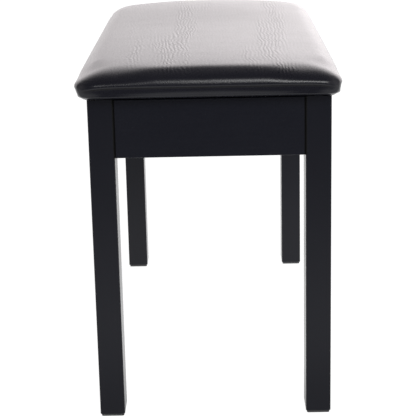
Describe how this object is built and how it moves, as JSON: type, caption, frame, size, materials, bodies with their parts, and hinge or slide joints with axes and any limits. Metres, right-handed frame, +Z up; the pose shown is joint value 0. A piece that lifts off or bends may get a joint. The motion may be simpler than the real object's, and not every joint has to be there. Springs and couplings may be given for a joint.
{
  "type": "piano bench",
  "caption": "Long padded bench with straight square-edged legs, boxed aprons and a hinged lid over a shallow storage box.",
  "frame": {"origin": "on the floor, under the middle of the seat", "axes": "+X along the bench to a sitter's right, +Y to the hinged side, +Z up"},
  "size_m": [0.762, 0.356, 0.5],
  "materials": {
    "satin_black_wood": "satin black lacquer on close-grained hardwood",
    "plain_beech": "planed, unfinished",
    "black_hardboard": "smooth-faced hardboard, dyed black",
    "zinc_steel": "bright zinc plate",
    "brass_insert": "turned brass",
    "hinge_steel": "zinc-plated steel strip",
    "stay_steel": "nickel-plated steel strip",
    "glide_plastic": "moulded black nylon",
    "bumper_rubber": "soft black rubber",
    "birch_plywood": "sanded plywood",
    "seat_foam": "open-cell foam",
    "black_vinyl": "satin black leather-grain vinyl",
    "dust_cloth": "spun-bonded black cloth",
    "staple_wire": "galvanised wire"
  },
  "bodies": {
    "frame": {"leg_front_left": "satin_black_wood", "leg_front_right": "satin_black_wood", "leg_rear_left": "satin_black_wood", "leg_rear_right": "satin_black_wood", "apron_front": "satin_black_wood", "apron_rear": "satin_black_wood", "apron_left": "satin_black_wood", "apron_right": "satin_black_wood", "bottom_panel": "black_hardboard", "corner_blocks": "plain_beech", "corner_bolts": "zinc_steel", "corner_bolt_washers": "zinc_steel", "leg_inserts": "brass_insert", "apron_dowels": "plain_beech", "block_screws": "zinc_steel", "foot_glides": "glide_plastic", "foot_glide_nails": "zinc_steel", "lid_bumpers": "bumper_rubber", "hinge_frame_leaves": "hinge_steel", "hinge_pins": "hinge_steel", "hinge_frame_screws": "zinc_steel", "stay_box_brackets": "stay_steel", "stay_box_rivet_left": "stay_steel", "stay_box_rivet_right": "stay_steel", "stay_box_screws": "zinc_steel"},
    "lid": {"lid_board": "birch_plywood", "foam_pad": "seat_foam", "seat_cover": "black_vinyl", "dust_cover": "dust_cloth", "cover_staples": "staple_wire", "dust_cover_staples": "staple_wire", "hinge_lid_leaves": "hinge_steel", "hinge_lid_screws": "zinc_steel", "stay_lid_brackets": "stay_steel", "stay_lid_rivet_left": "stay_steel", "stay_lid_rivet_right": "stay_steel", "stay_lid_screws": "zinc_steel"},
    "stay_lower_left": {"stay_lower_link_left": "stay_steel", "stay_knuckle_rivet_left": "stay_steel"},
    "stay_upper_left": {"stay_upper_link_left": "stay_steel"},
    "stay_lower_right": {"stay_lower_link_right": "stay_steel", "stay_knuckle_rivet_right": "stay_steel"},
    "stay_upper_right": {"stay_upper_link_right": "stay_steel"}
  },
  "joints": [
    {"name": "lid_hinge", "type": "hinge", "parent": "frame", "child": "lid", "pos_m": [0, 0.1658, 0.457], "axis": [-1, 0, 0], "range_deg": [0, 85]},
    {"name": "stay_box_pivot_left", "type": "hinge", "parent": "frame", "child": "stay_lower_left", "pos_m": [-0.3476, 0.06379, 0.427], "axis": [-1, 0, 0], "range_deg": [0, 85]},
    {"name": "stay_lid_pivot_left", "type": "hinge", "parent": "lid", "child": "stay_upper_left", "pos_m": [-0.3452, 0.04546, 0.449], "axis": [-1, 0, 0], "range_deg": [-85, 0]},
    {"name": "stay_box_pivot_right", "type": "hinge", "parent": "frame", "child": "stay_lower_right", "pos_m": [0.3476, 0.06379, 0.427], "axis": [-1, 0, 0], "range_deg": [0, 85]},
    {"name": "stay_lid_pivot_right", "type": "hinge", "parent": "lid", "child": "stay_upper_right", "pos_m": [0.3452, 0.04546, 0.449], "axis": [-1, 0, 0], "range_deg": [-85, 0]}
  ],
  "couplings": [
    {"joint": "stay_box_pivot_left", "follows": "lid_hinge", "ratio": 1},
    {"joint": "stay_lid_pivot_left", "follows": "lid_hinge", "ratio": -1},
    {"joint": "stay_box_pivot_right", "follows": "lid_hinge", "ratio": 1},
    {"joint": "stay_lid_pivot_right", "follows": "lid_hinge", "ratio": -1}
  ]
}
